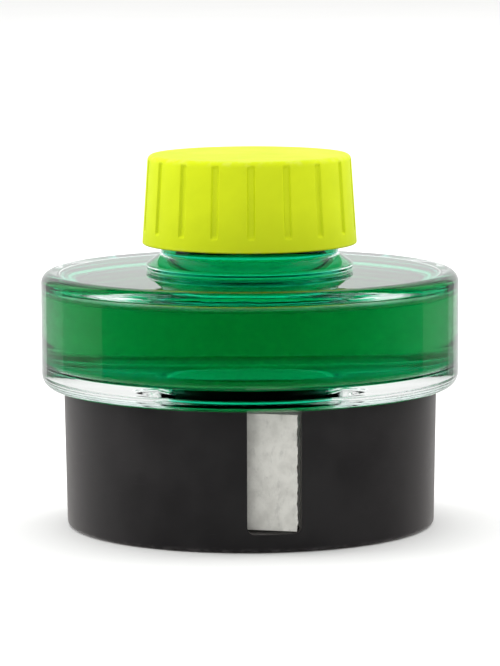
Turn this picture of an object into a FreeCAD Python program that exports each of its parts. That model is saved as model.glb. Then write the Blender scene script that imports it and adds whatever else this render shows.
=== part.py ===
import FreeCAD, Part
import math
import os

import Sketcher

# Screw-cap ink bottle standing in a round base that holds a roll of blotting paper.
# Millimetres, +Z up. The origin is on the axis, in the plane the base stands on.
# The paper window faces -Y. Positive turns of the cap, seen from above, unscrew it.

# ---------------------------------------------------------------- driving sizes
SIZES = [
    # base
    ("base_inset", 3.7, "how far the base's rim stays inside the glass radius"),
    ("base_draft", 0.4, "the foot is this much smaller in radius than the rim"),
    ("base_wall", 1.5, "thickness of the skirt"),
    ("foot_recess", 1.6, "hollow under the floor"),
    ("foot_width", 2.4, "width of the ring the base stands on"),
    ("foot_round", 0.8, "rounding of the outer bottom edge"),
    ("floor_thickness", 1.5, "floor under the paper; its top is the window's sill"),
    ("hub_wall", 1.4, "wall of the tube in the middle of the base"),
    ("hub_drop", 1.0, "the tube ends this far below the rim"),
    ("ledge_width", 2.0, "low ring around the tube that carries the paper"),
    ("ledge_height", 0.5, "height of that ring above the floor"),
    ("window_width", 8.9, "width of the notch in the skirt"),
    ("window_corner", 1.2, "rounding of the notch's lower corners"),
    # blotting paper
    ("strip_width", 19.0, "width of the paper strip, which stands on edge"),
    ("strip_headroom", 0.8, "gap between the paper and the glass above it"),
    ("strip_thickness", 0.4, "thickness of the free end of the strip"),
    ("roll_side_gap", 1.9, "gap between the roll and the skirt"),
    ("roll_hub_gap", 0.4, "gap between the roll and the tube"),
    ("strip_roll_gap", 0.15, "gap between the free end and the roll it leaves"),
    ("strip_jamb_gap", 0.2, "gap by which the pulled strip clears the window's edge"),
    ("strip_setback", 0.55, "the free end stops this far short of the window's edge"),
    # glass bottle
    ("glass_radius", 35.0, "outer radius of the body"),
    ("body_height", 19.4, "height of the body at its side"),
    ("glass_wall", 2.7, "thickness of the side"),
    ("glass_floor", 3.4, "thickness of the bottom at the side"),
    ("glass_ceiling", 2.4, "thickness of the top at the side"),
    ("top_rise", 0.1, "the top face climbs this much towards the neck"),
    ("floor_fall", 0.8, "the inner floor drops this much towards the well"),
    ("heel_round", 2.3, "outer rounding at the bottom"),
    ("shoulder_round", 1.9, "outer rounding at the top"),
    ("cavity_round", 2.0, "rounding of the inner corners"),
    ("well_radius", 12.8, "outer radius of the well that dips into the base"),
    ("well_depth", 14.4, "depth of the well below the body"),
    ("well_land", 5.0, "straight upper stretch of the well, which the tube holds"),
    ("well_taper", 0.8, "the well is this much smaller in radius at its bottom"),
    ("well_wall", 2.4, "thickness of the well"),
    ("well_round", 3.0, "outer rounding of the well's bottom"),
    ("well_fit", 0.06, "radial clearance of the well in the tube"),
    # neck
    ("neck_radius", 14.85, "outer radius of the neck"),
    ("neck_wall", 3.35, "thickness of the neck"),
    ("neck_height", 16.6, "from the shoulder to the mouth's rim"),
    ("collar_reach", 2.65, "the collar stands this far out from the neck"),
    ("collar_undercut", 0.4, "the collar is this much smaller at its foot"),
    ("collar_height", 1.0, "from the top face to the collar's widest point"),
    ("collar_slope", 1.9, "height of the slope from there up to the neck"),
    ("throat_round", 2.0, "rounding where the bore of the neck opens into the hollow"),
    ("rim_round", 0.7, "rounding of the mouth's rim"),
    # thread
    ("thread_lead", 4.233, "rise of the thread in one turn"),
    ("thread_depth", 0.9, "height of the bead on the glass"),
    ("thread_root", 2.2, "width of a bead where it leaves its wall"),
    ("thread_crest", 1.0, "width of a bead at its top"),
    ("thread_turns", 1.4, "turns of bead on the glass and in the cap"),
    ("thread_top_gap", 1.07, "the glass bead's upper end stops this far below the rim"),
    ("thread_foot_gap", 0.78, "the cap bead's lower end starts this far above the cap's rim"),
    ("thread_gap", 0.25, "radial clearance between each bead and the other wall"),
    ("thread_bite", 0.3, "a bead starts this far inside its own wall"),
    # cap
    ("cap_height", 15.0, "overall height of the cap"),
    ("cap_top", 1.7, "thickness of its top"),
    ("cap_wall", 1.0, "thickness of its wall at the top"),
    ("cap_flare", 1.0, "the rim's radius is this much larger than the top's"),
    ("cap_edge", 1.0, "rounding of the top edge"),
    ("cap_rim_round", 0.3, "rounding of the lower edges"),
    ("grip_count", 18.0, "number of grip grooves"),
    ("grip_width", 1.1, "width of a grip groove"),
    ("grip_depth", 0.35, "depth of a grip groove"),
    ("grip_top", 1.0, "the grooves end this far below the top"),
    ("grip_foot", 2.4, "the grooves end this far above the rim"),
    ("grip_angle", -6.3, "angle of one groove from the window's direction, in degrees"),
    ("liner_thickness", 1.2, "sealing disc inside the cap"),
    ("liner_gap", 0.3, "gap between the disc's edge and the cap"),
    # ink
    ("ink_neck_depth", 5.5, "the ink stands this far up the straight part of the mouth"),
    ("ink_film", 0.02, "gap between the ink's solid and the glass"),
]

doc = FreeCAD.newDocument("InkBottle")
sheet = doc.addObject("Spreadsheet::Sheet", "Sizes")
for row, (alias, number, note) in enumerate(SIZES, start=1):
    sheet.set("A%d" % row, note)
    sheet.set("B%d" % row, str(number))
    sheet.setAlias("B%d" % row, alias)
doc.recompute()

# ------------------------------------------- places worked out from the sizes
# Each is an expression, so it follows the sheet wherever it is used.
FLOOR_TOP = "(Sizes.foot_recess + Sizes.floor_thickness)"
PAPER_FOOT = f"({FLOOR_TOP} + Sizes.ledge_height)"
BASE_TOP = f"({PAPER_FOOT} + Sizes.strip_width + Sizes.strip_headroom)"
RIM_RADIUS = "(Sizes.glass_radius - Sizes.base_inset)"
FOOT_RADIUS = f"({RIM_RADIUS} - Sizes.base_draft)"
CHAMBER_RADIUS = f"({FOOT_RADIUS} - Sizes.base_wall)"
HUB_BORE = "(Sizes.well_radius + Sizes.well_fit)"
HUB_RADIUS = f"({HUB_BORE} + Sizes.hub_wall)"
HUB_TOP = f"({BASE_TOP} - Sizes.hub_drop)"
LEDGE_RADIUS = f"({HUB_RADIUS} + Sizes.ledge_width)"
ROLL_RADIUS = f"({CHAMBER_RADIUS} - Sizes.roll_side_gap)"
ROLL_BORE = f"({HUB_RADIUS} + Sizes.roll_hub_gap)"

SHOULDER = f"({BASE_TOP} + Sizes.body_height)"
TOP_FACE = f"({SHOULDER} + Sizes.top_rise)"
CAVITY_RADIUS = "(Sizes.glass_radius - Sizes.glass_wall)"
CAVITY_FLOOR = f"({BASE_TOP} + Sizes.glass_floor)"
CEILING = f"({SHOULDER} - Sizes.glass_ceiling)"
WELL_BOTTOM = f"({BASE_TOP} - Sizes.well_depth)"
WELL_BORE = "(Sizes.well_radius - Sizes.well_wall)"
MOUTH_RADIUS = "(Sizes.neck_radius - Sizes.neck_wall)"
MOUTH_RIM = f"({SHOULDER} + Sizes.neck_height)"
COLLAR_RADIUS = "(Sizes.neck_radius + Sizes.collar_reach)"
COLLAR_WAIST = f"({TOP_FACE} + Sizes.collar_height)"
COLLAR_TOP = f"({COLLAR_WAIST} + Sizes.collar_slope)"
THREAD_RISE = "(Sizes.thread_lead * Sizes.thread_turns + Sizes.thread_root / 2)"
THREAD_START = f"({MOUTH_RIM} - Sizes.thread_top_gap - {THREAD_RISE})"

CAP_BORE = "(Sizes.neck_radius + Sizes.thread_depth + Sizes.thread_gap)"
CAP_TOP_RADIUS = f"({CAP_BORE} + Sizes.cap_wall)"
CAP_RIM_RADIUS = f"({CAP_TOP_RADIUS} + Sizes.cap_flare)"
CAP_CEILING = f"({MOUTH_RIM} + Sizes.liner_thickness)"
CAP_TOP = f"({CAP_CEILING} + Sizes.cap_top)"
CAP_RIM = f"({CAP_TOP} - Sizes.cap_height)"
CAP_THREAD_START = f"({CAP_RIM} + Sizes.thread_foot_gap + Sizes.thread_root / 2)"
THROAT = f"({CEILING} + Sizes.top_rise)"
INK_LEVEL = f"({THROAT} + Sizes.throat_round + Sizes.ink_neck_depth)"


def number(expression):
    """The value of an expression in sheet names, in millimetres or degrees."""
    result = sheet.evalExpression(expression)
    return float(getattr(result, "Value", result))


# ------------------------------------------------------------ building helpers
def new_body(label):
    """An empty PartDesign body whose label is the piece's name."""
    body = doc.addObject("PartDesign::Body", label)
    body.Label = label
    body.Placement = FreeCAD.Placement()
    return body


def origin_plane(body, role):
    """The body's own origin plane with this role."""
    return next(item for item in body.Origin.OriginFeatures if item.Role == role)


def new_sketch(body, name, role):
    """A sketch on one of the body's origin planes."""
    sketch = body.newObject("Sketcher::SketchObject", name)
    sketch.AttachmentSupport = [(origin_plane(body, role), "")]
    sketch.MapMode = "FlatFace"
    return sketch


def turn_sketch(sketch, degrees):
    """Turn an upright sketch about the Z axis by an angle given as an expression."""
    turned = FreeCAD.Rotation(FreeCAD.Vector(0, 1, 0), number(degrees))
    sketch.AttachmentOffset = FreeCAD.Placement(FreeCAD.Vector(), turned)


def bind(sketch, constraint, name, expression):
    """Add a named constraint and tie its value to the sheet."""
    index = sketch.addConstraint(constraint)
    sketch.renameConstraint(index, name)
    sketch.setExpression("Constraints." + name, expression)


SIDES = {"below": (0, -1), "above": (0, 1), "left": (-1, 0), "right": (1, 0)}


def rounded(x, y, radius, before, after):
    """Two outline corners that replace a square corner at (x, y) by a quarter arc.

    before and after say on which side of the corner the outline comes in and goes out.
    """
    came, goes = SIDES[before], SIDES[after]
    turns_left = came[1] * goes[0] - came[0] * goes[1] > 0
    start = (f"{x} + {came[0]} * {radius}", f"{y} + {came[1]} * {radius}")
    end = (f"{x} + {goes[0]} * {radius}", f"{y} + {goes[1]} * {radius}")
    return [start + (radius, turns_left), end]


def arc_between(start, end, radius, turns_left):
    """The short arc from start to end, with its centre left or right of the way."""
    chord = end - start
    to_left = FreeCAD.Vector(-chord.y, chord.x, 0).normalize()
    depth = math.sqrt(max(radius ** 2 - (chord.Length / 2) ** 2, 0))
    centre = (start + end) * 0.5 + to_left * (depth if turns_left else -depth)
    first, last = (start, end) if turns_left else (end, start)
    circle = Part.Circle(centre, FreeCAD.Vector(0, 0, 1), radius)
    angles = [math.atan2(p.y - centre.y, p.x - centre.x) for p in (first, last)]
    return Part.ArcOfCircle(circle, *angles)


def outline(sketch, corners):
    """A closed outline through corners (x, y), each tied to the sheet.

    A corner (x, y, radius, turns_left) starts an arc that ends at the next corner.
    """
    places = [FreeCAD.Vector(number(corner[0]), number(corner[1]), 0) for corner in corners]
    count = len(corners)
    ends = []
    for index, corner in enumerate(corners):
        start = places[index]
        end = places[(index + 1) % count]
        if len(corner) == 2:
            sketch.addGeometry(Part.LineSegment(start, end), False)
            ends.append((1, 2))
        else:
            sketch.addGeometry(arc_between(start, end, number(corner[2]), corner[3]), False)
            ends.append((1, 2) if corner[3] else (2, 1))
    for index, corner in enumerate(corners):
        following = (index + 1) % count
        first = ends[index][0]
        join = (index, ends[index][1], following, ends[following][0])
        sketch.addConstraint(Sketcher.Constraint("Coincident", *join))
        for axis, kind in enumerate(("DistanceX", "DistanceY")):
            constraint = Sketcher.Constraint(kind, -1, 1, index, first, places[index][axis])
            bind(sketch, constraint, "%s%d" % ("xy"[axis], index), corner[axis])
        if len(corner) > 2:
            constraint = Sketcher.Constraint("Radius", index, number(corner[2]))
            bind(sketch, constraint, "r%d" % index, corner[2])


def revolved(body, name, corners):
    """A full turn about Z of an outline of (radius, height) corners."""
    sketch = new_sketch(body, name + "_profile", "XZ_Plane")
    outline(sketch, corners)
    turned = body.newObject("PartDesign::Revolution", name)
    turned.Profile = sketch
    turned.ReferenceAxis = (sketch, ["V_Axis"])
    turned.Angle = 360
    body.Tip = turned
    doc.recompute()
    return turned


def thread_bead(body, name, wall, crest, start, degrees="0"):
    """A helical bead from a wall radius to a crest radius, starting at a turn about Z."""
    side = 1 if number(crest) > number(wall) else -1
    root = f"({wall} - {side} * Sizes.thread_bite)"
    sketch = new_sketch(body, name + "_profile", "XZ_Plane")
    turn_sketch(sketch, degrees)
    corners = [
        (root, f"{start} - Sizes.thread_root / 2"),
        (crest, f"{start} - Sizes.thread_crest / 2"),
        (crest, f"{start} + Sizes.thread_crest / 2"),
        (root, f"{start} + Sizes.thread_root / 2"),
    ]
    outline(sketch, corners)
    bead = body.newObject("PartDesign::AdditiveHelix", name)
    bead.Profile = sketch
    bead.ReferenceAxis = (sketch, ["V_Axis"])
    bead.Mode = "pitch-turns-angle"
    bead.setExpression("Pitch", "Sizes.thread_lead")
    bead.setExpression("Turns", "Sizes.thread_turns")
    bead.Angle = 0
    bead.LeftHanded = False
    bead.Reversed = False
    body.Tip = bead
    doc.recompute()
    return bead


# ------------------------------------------------------------------- the pieces
def base_shell():
    """Skirt, floor, middle tube and paper ledge in one moulding, notched for the paper."""
    body = new_body("base_shell")
    inner_foot = f"({FOOT_RADIUS} - Sizes.foot_width)"
    corners = [
        (inner_foot, "0"),
        *rounded(FOOT_RADIUS, "0", "Sizes.foot_round", "left", "above"),
        (RIM_RADIUS, BASE_TOP),
        (f"{RIM_RADIUS} - Sizes.base_wall", BASE_TOP),
        (CHAMBER_RADIUS, FLOOR_TOP),
        (LEDGE_RADIUS, FLOOR_TOP),
        (LEDGE_RADIUS, PAPER_FOOT),
        (HUB_RADIUS, PAPER_FOOT),
        (HUB_RADIUS, HUB_TOP),
        (HUB_BORE, HUB_TOP),
        (HUB_BORE, FLOOR_TOP),
        ("0", FLOOR_TOP),
        ("0", "Sizes.foot_recess"),
        (inner_foot, "Sizes.foot_recess"),
    ]
    revolved(body, "moulding", corners)
    before = body.Tip.Shape.Volume
    # The sketch plane stands between the tube and the skirt, and the cut runs outwards.
    sketch = new_sketch(body, "window_outline", "XZ_Plane")
    sketch.AttachmentOffset.Base.z = number(LEDGE_RADIUS)
    sketch.setExpression("AttachmentOffset.Base.z", LEDGE_RADIUS)
    left, right = "-Sizes.window_width / 2", "Sizes.window_width / 2"
    above = f"{BASE_TOP} + Sizes.base_wall"
    outline(sketch, [
        *rounded(left, FLOOR_TOP, "Sizes.window_corner", "above", "right"),
        *rounded(right, FLOOR_TOP, "Sizes.window_corner", "left", "above"),
        (right, above),
        (left, above),
    ])
    window = body.newObject("PartDesign::Pocket", "window")
    window.Profile = sketch
    window.Type = "Length"
    window.setExpression("Length", RIM_RADIUS)
    window.Reversed = True
    body.Tip = window
    doc.recompute()
    print("window removes %.1f mm3" % (before - window.Shape.Volume))
    return body


def paper_roll():
    """The wound strip, a thick ring around the middle tube."""
    body = new_body("paper_roll")
    sketch = new_sketch(body, "roll_circles", "XY_Plane")
    for name, expression in (("outer", ROLL_RADIUS), ("inner", ROLL_BORE)):
        circle = Part.Circle(FreeCAD.Vector(), FreeCAD.Vector(0, 0, 1), number(expression))
        index = sketch.addGeometry(circle, False)
        sketch.addConstraint(Sketcher.Constraint("Coincident", index, 3, -1, 1))
        bind(sketch, Sketcher.Constraint("Radius", index, number(expression)), name, expression)
    pad = body.newObject("PartDesign::Pad", "roll")
    pad.Profile = sketch
    pad.setExpression("Length", "Sizes.strip_width")
    body.Tip = pad
    body.Placement.Base.z = number(PAPER_FOOT)
    body.setExpression("Placement.Base.z", PAPER_FOOT)
    doc.recompute()
    return body


def strip_line():
    """Where the free end runs: its turn about Z, inner face radius and two ends.

    The strip leaves the roll along a tangent and clears the window's right edge by the
    named gap. Lengths are along the strip from the tangent point.
    """
    inner = number(f"{ROLL_RADIUS} + Sizes.strip_roll_gap")
    clear = number(f"{RIM_RADIUS} + Sizes.strip_jamb_gap")
    edge_angle = math.asin(number("Sizes.window_width / 2") / clear)
    turn = edge_angle - math.acos(inner / clear)
    to_edge = math.sqrt(clear ** 2 - inner ** 2)
    front = to_edge - number("Sizes.strip_setback") / math.cos(turn)
    outer = inner + number("Sizes.strip_thickness")
    room = number(f"{CHAMBER_RADIUS} - Sizes.strip_jamb_gap")
    back = math.sqrt(room ** 2 - outer ** 2)
    return turn, inner, front, back


def paper_tail():
    """The free end of the strip, lying across the window ready to be drawn out."""
    body = new_body("paper_tail")
    turn, inner, front, back = strip_line()
    outer = inner + number("Sizes.strip_thickness")
    sketch = new_sketch(body, "tail_section", "XY_Plane")
    for start, end in (
        ((-back, -inner), (front, -inner)),
        ((front, -inner), (front, -outer)),
        ((front, -outer), (-back, -outer)),
        ((-back, -outer), (-back, -inner)),
    ):
        line = Part.LineSegment(FreeCAD.Vector(*start, 0), FreeCAD.Vector(*end, 0))
        sketch.addGeometry(line, False)
    for index in range(4):
        sketch.addConstraint(Sketcher.Constraint("Coincident", index, 2, (index + 1) % 4, 1))
    for index, kind in ((0, "Horizontal"), (1, "Vertical"), (2, "Horizontal"), (3, "Vertical")):
        sketch.addConstraint(Sketcher.Constraint(kind, index))
    sketch.addConstraint(Sketcher.Constraint("DistanceX", -1, 1, 0, 1, -back))
    sketch.addConstraint(Sketcher.Constraint("DistanceX", -1, 1, 0, 2, front))
    face = f"-({ROLL_RADIUS} + Sizes.strip_roll_gap)"
    bind(sketch, Sketcher.Constraint("DistanceY", -1, 1, 0, 1, -inner), "face", face)
    bind(sketch, Sketcher.Constraint("DistanceY", 2, 1, 1, 1, outer - inner), "thickness",
         "Sizes.strip_thickness")
    pad = body.newObject("PartDesign::Pad", "tail")
    pad.Profile = sketch
    pad.setExpression("Length", "Sizes.strip_width")
    body.Tip = pad
    body.Placement = FreeCAD.Placement(
        FreeCAD.Vector(0, 0, number(PAPER_FOOT)),
        FreeCAD.Rotation(FreeCAD.Vector(0, 0, 1), math.degrees(turn)),
    )
    doc.recompute()
    return body


def hollow(film):
    """The hollow's outline, drawn in by a film, from the straight mouth down to the well."""
    mouth = f"{MOUTH_RADIUS} - {film}"
    side = f"{CAVITY_RADIUS} - {film}"
    well = f"{WELL_BORE} - {film}"
    tip = f"{WELL_BORE} - Sizes.well_taper - {film}"
    shelf = f"{CAVITY_FLOOR} - Sizes.floor_fall + {film}"
    bottom = f"{WELL_BOTTOM} + Sizes.well_wall + {film}"
    corner = "Sizes.cavity_round"
    return [
        *rounded(mouth, f"{THROAT} - {film}", "Sizes.throat_round", "above", "right"),
        *rounded(side, f"{CEILING} - {film}", corner, "left", "below"),
        *rounded(side, f"{CAVITY_FLOOR} + {film}", corner, "above", "left"),
        *rounded(well, shelf, corner, "right", "below"),
        *rounded(tip, bottom, corner, "above", "left"),
        ("0", bottom),
    ]


def glass_bottle():
    """Thick pressed-glass disc with a well below, a collar and a threaded neck above."""
    body = new_body("glass_bottle")
    well_tip = "(Sizes.well_radius - Sizes.well_taper)"
    outside = [
        ("0", WELL_BOTTOM),
        *rounded(well_tip, WELL_BOTTOM, "Sizes.well_round", "left", "above"),
        ("Sizes.well_radius", f"{BASE_TOP} - Sizes.well_land"),
        ("Sizes.well_radius", BASE_TOP),
        *rounded("Sizes.glass_radius", BASE_TOP, "Sizes.heel_round", "left", "above"),
        *rounded("Sizes.glass_radius", SHOULDER, "Sizes.shoulder_round", "below", "left"),
        (f"{COLLAR_RADIUS} - Sizes.collar_undercut", TOP_FACE),
        (COLLAR_RADIUS, COLLAR_WAIST),
        ("Sizes.neck_radius", COLLAR_TOP),
        *rounded("Sizes.neck_radius", MOUTH_RIM, "Sizes.rim_round", "below", "left"),
        *rounded(MOUTH_RADIUS, MOUTH_RIM, "Sizes.rim_round", "right", "below"),
    ]
    revolved(body, "pressing", outside + hollow("0"))
    crest = "(Sizes.neck_radius + Sizes.thread_depth)"
    thread_bead(body, "thread", "Sizes.neck_radius", crest, THREAD_START)
    return body


def ink():
    """The ink that fills the hollow up into the mouth, a hair clear of the glass."""
    body = new_body("ink")
    surface = [("0", INK_LEVEL), (f"{MOUTH_RADIUS} - Sizes.ink_film", INK_LEVEL)]
    revolved(body, "fill", surface + hollow("Sizes.ink_film"))
    return body


def cap_liner():
    """Soft disc that seals the mouth's rim under the cap's top."""
    body = new_body("cap_liner")
    radius = f"({CAP_BORE} - Sizes.liner_gap)"
    revolved(body, "disc", [
        ("0", MOUTH_RIM),
        (radius, MOUTH_RIM),
        (radius, CAP_CEILING),
        ("0", CAP_CEILING),
    ])
    return body


def screw_cap():
    """Moulded cap: flared wall with grip grooves outside and a thread bead inside."""
    body = new_body("screw_cap")
    revolved(body, "cup", [
        *rounded(CAP_BORE, CAP_RIM, "Sizes.cap_rim_round", "above", "right"),
        *rounded(CAP_RIM_RADIUS, CAP_RIM, "Sizes.cap_rim_round", "left", "above"),
        *rounded(CAP_TOP_RADIUS, CAP_TOP, "Sizes.cap_edge", "below", "left"),
        ("0", CAP_TOP),
        ("0", CAP_CEILING),
        (CAP_BORE, CAP_CEILING),
    ])
    # The cap's bead runs midway between the turns of the bead on the glass.
    crest = "(Sizes.neck_radius + Sizes.thread_gap)"
    lag = f"({CAP_THREAD_START} - {THREAD_START}) / Sizes.thread_lead + 0.5"
    thread_bead(body, "thread", CAP_BORE, crest, CAP_THREAD_START, f"360 * ({lag})")
    grip_grooves(body)
    return body


def grip_grooves(body):
    """Cut one upright groove that follows the wall's flare, then repeat it all round."""
    before = body.Tip.Shape.Volume
    sketch = new_sketch(body, "groove_profile", "XZ_Plane")
    turn_sketch(sketch, "Sizes.grip_angle - 90")

    def wall_radius(rise):
        return f"({CAP_RIM_RADIUS} - Sizes.cap_flare * ({rise}) / Sizes.cap_height)"

    foot = "Sizes.grip_foot"
    top = "(Sizes.cap_height - Sizes.grip_top)"
    outline(sketch, [
        (f"{wall_radius(foot)} - Sizes.grip_depth", f"{CAP_RIM} + {foot}"),
        (f"{wall_radius(foot)} + Sizes.grip_width", f"{CAP_RIM} + {foot}"),
        (f"{wall_radius(top)} + Sizes.grip_width", f"{CAP_RIM} + {top}"),
        (f"{wall_radius(top)} - Sizes.grip_depth", f"{CAP_RIM} + {top}"),
    ])
    groove = body.newObject("PartDesign::Pocket", "grip_groove")
    groove.Profile = sketch
    groove.Type = "Length"
    groove.Midplane = True
    groove.setExpression("Length", "Sizes.grip_width")
    body.Tip = groove
    doc.recompute()
    print("one groove removes %.2f mm3" % (before - groove.Shape.Volume))
    pattern = body.newObject("PartDesign::PolarPattern", "grip_grooves")
    pattern.Originals = [groove]
    pattern.Axis = (sketch, ["V_Axis"])
    pattern.Angle = 360
    pattern.setExpression("Occurrences", "Sizes.grip_count")
    body.Tip = pattern
    doc.recompute()
    print("all grooves remove %.2f mm3" % (before - pattern.Shape.Volume))


# ---------------------------------------------------------------- build and write
pieces = [
    base_shell(),
    paper_roll(),
    paper_tail(),
    glass_bottle(),
    ink(),
    cap_liner(),
    screw_cap(),
]
doc.recompute()
for item in doc.Objects:
    if "Invalid" in item.State or "Error" in item.State:
        raise RuntimeError("%s failed: %s" % (item.Name, item.State))
os.makedirs("parts", exist_ok=True)
for piece in pieces:
    shape = piece.Shape
    if shape.isNull() or not shape.isValid() or len(shape.Solids) != 1:
        raise RuntimeError("%s is not one valid solid" % piece.Label)
    shape.exportStep("parts/%s.step" % piece.Label)
    box = shape.BoundBox
    print("%-13s %9.1f mm3  z %6.2f to %6.2f  radius %6.2f"
          % (piece.Label, shape.Volume, box.ZMin, box.ZMax, box.XMax))
turn, inner, front, back = strip_line()
print("strip turned %.2f deg, inner face at %.3f mm, free %.2f mm, hidden %.2f mm"
      % (math.degrees(turn), inner, front, back))
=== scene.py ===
# %% [markdown]
# # An ink bottle that stands in its own roll of blotting paper
# The real thing is a thick glass disc full of green ink, closed by a yellow-green screw cap. A
# black plastic base holds it up, and a roll of blotting paper stands on edge inside that base,
# with its free end behind an upright window. This lesson builds each piece in turn, gives it a
# finish made of nodes, and sets it under soft light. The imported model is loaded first, because it
# says how large everything is and which pieces move together.

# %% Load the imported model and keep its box
import math
import bmesh
import bpy
from mathutils import Matrix, Vector


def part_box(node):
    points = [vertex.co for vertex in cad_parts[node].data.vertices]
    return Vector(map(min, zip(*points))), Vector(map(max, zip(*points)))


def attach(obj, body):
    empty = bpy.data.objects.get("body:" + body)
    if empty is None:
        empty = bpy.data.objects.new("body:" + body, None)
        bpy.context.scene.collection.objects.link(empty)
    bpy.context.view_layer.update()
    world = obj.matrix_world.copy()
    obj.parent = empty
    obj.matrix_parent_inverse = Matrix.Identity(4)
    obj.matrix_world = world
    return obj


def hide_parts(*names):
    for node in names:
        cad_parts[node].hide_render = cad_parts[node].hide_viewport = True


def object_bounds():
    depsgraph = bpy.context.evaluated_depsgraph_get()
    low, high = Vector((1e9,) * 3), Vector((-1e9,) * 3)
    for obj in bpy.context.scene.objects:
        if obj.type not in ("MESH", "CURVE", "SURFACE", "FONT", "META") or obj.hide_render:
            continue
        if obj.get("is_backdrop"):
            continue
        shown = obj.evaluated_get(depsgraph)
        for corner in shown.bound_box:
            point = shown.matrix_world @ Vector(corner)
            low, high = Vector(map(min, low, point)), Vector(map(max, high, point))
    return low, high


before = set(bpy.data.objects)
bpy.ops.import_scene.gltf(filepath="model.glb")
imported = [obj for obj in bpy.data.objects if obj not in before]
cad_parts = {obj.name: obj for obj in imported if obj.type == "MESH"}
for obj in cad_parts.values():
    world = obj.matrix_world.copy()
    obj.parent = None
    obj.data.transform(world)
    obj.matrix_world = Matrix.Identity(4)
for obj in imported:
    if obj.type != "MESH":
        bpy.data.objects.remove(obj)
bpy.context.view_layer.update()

MM = 0.001


# %% [markdown]
# The pieces are turned shapes, so most sizes are radii and heights. Reading them from the packed
# model keeps the two in step: a box gives a round piece's radius and its two ends. Only wall
# thicknesses and corner rounds, which a box doesn't show, are written down here, in millimetres.

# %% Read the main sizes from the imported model
def size_of(node):
    """Radius, foot height and top height of a round piece, in millimetres."""
    low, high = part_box(node)
    return round(high.x / MM, 2), round(low.z / MM, 2), round(high.z / MM, 2)


BASE_RADIUS, BASE_FOOT, BASE_TOP = size_of("base_shell")
GLASS_RADIUS, WELL_BOTTOM, MOUTH_RIM = size_of("glass_bottle")
CAP_RADIUS, CAP_RIM, CAP_TOP = size_of("screw_cap")
LINER_RADIUS, LINER_FOOT, LINER_TOP = size_of("cap_liner")
ROLL_RADIUS, PAPER_FOOT, PAPER_TOP = size_of("paper_roll")
INK_LEVEL = size_of("ink")[2]
print("base", BASE_RADIUS, BASE_TOP, "glass", GLASS_RADIUS, WELL_BOTTOM, MOUTH_RIM)
print("cap", CAP_RADIUS, CAP_RIM, CAP_TOP, "roll", ROLL_RADIUS, PAPER_FOOT, PAPER_TOP)


# %% [markdown]
# ## Small helpers for node trees
# Finishes and shaping rules are both networks of nodes, and both need a lot of small sums. One
# helper makes a math node and plugs in numbers or other outputs, so that a rule reads like the
# sum it stands for. Another makes an empty group with named inputs and outputs, which is how an
# effect is shared by several finishes.

# %% Helpers that add nodes
def plug(tree, value, socket):
    """Link an output to a socket, or set the socket to a plain value."""
    if isinstance(value, bpy.types.NodeSocket):
        tree.links.new(value, socket)
    else:
        socket.default_value = value


def node(tree, kind, settings=None, **inputs):
    """A node with its settings, and with its inputs named by their titles (_ for a space)."""
    made = tree.nodes.new(kind)
    for name, value in (settings or {}).items():
        setattr(made, name, value)
    for title, value in inputs.items():
        plug(tree, value, made.inputs[title.replace("_", " ")])
    return made


def sum_of(tree, operation, *values):
    """The result of one math node."""
    made = tree.nodes.new("ShaderNodeMath")
    made.operation = operation
    for socket, value in zip(made.inputs, values):
        plug(tree, value, socket)
    return made.outputs[0]


def ramp(tree, value, start, end, low=0.0, high=1.0, kind="SMOOTHSTEP"):
    """A value carried from the span start..end to low..high, with soft or straight ends."""
    made = node(tree, "ShaderNodeMapRange", {"interpolation_type": kind}, Value=value,
                From_Min=start, From_Max=end, To_Min=low, To_Max=high)
    return made.outputs["Result"]


def new_group(kind, name, inputs, outputs):
    """An empty group with named sockets. Returns it with its input and output sockets."""
    tree = bpy.data.node_groups.new(name, kind)
    for title, socket_type, value in inputs:
        socket = tree.interface.new_socket(title, in_out="INPUT", socket_type=socket_type)
        if value is not None:
            socket.default_value = value
    for title, socket_type in outputs:
        tree.interface.new_socket(title, in_out="OUTPUT", socket_type=socket_type)
    return tree, tree.nodes.new("NodeGroupInput").outputs, tree.nodes.new("NodeGroupOutput").inputs


FLOAT = "NodeSocketFloat"
SHADER, GEOMETRY = "ShaderNodeTree", "GeometryNodeTree"


# %% [markdown]
# ## Shared surface effects
# Moulded plastic is never perfectly even. The mould leaves a fine grain, the edges polish with
# handling, and dust settles on what faces up. The three effects are groups, so that the cap, the
# base, the paper and the foam can each use them at their own strength. All of them read the
# piece's own coordinates, so nothing slides when a piece moves.

# %% Fine grain, as a height and a soft mottling
grain, given, wanted = new_group(
    SHADER, "fine grain",
    [("Grain Size mm", FLOAT, 0.2), ("Patch Size mm", FLOAT, 8.0), ("Stretch", FLOAT, 1.0)],
    [("Height", FLOAT), ("Patches", FLOAT)])
place = node(grain, "ShaderNodeTexCoord").outputs["Object"]
stretched = node(grain, "ShaderNodeVectorMath", {"operation": "MULTIPLY"})
plug(grain, place, stretched.inputs[0])
plug(grain, node(grain, "ShaderNodeCombineXYZ", X=1.0, Y=1.0, Z=given["Stretch"]).outputs[0],
     stretched.inputs[1])
fine = node(grain, "ShaderNodeTexNoise", Vector=stretched.outputs[0], Detail=3.0, Roughness=0.6,
            Scale=sum_of(grain, "DIVIDE", 1000.0, given["Grain Size mm"]))
patches = node(grain, "ShaderNodeTexNoise", Vector=stretched.outputs[0], Detail=4.0,
               Roughness=0.55, Scale=sum_of(grain, "DIVIDE", 1000.0, given["Patch Size mm"]))
plug(grain, fine.outputs[0], wanted["Height"])
plug(grain, patches.outputs[0], wanted["Patches"])
print("group:", grain.name)


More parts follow.
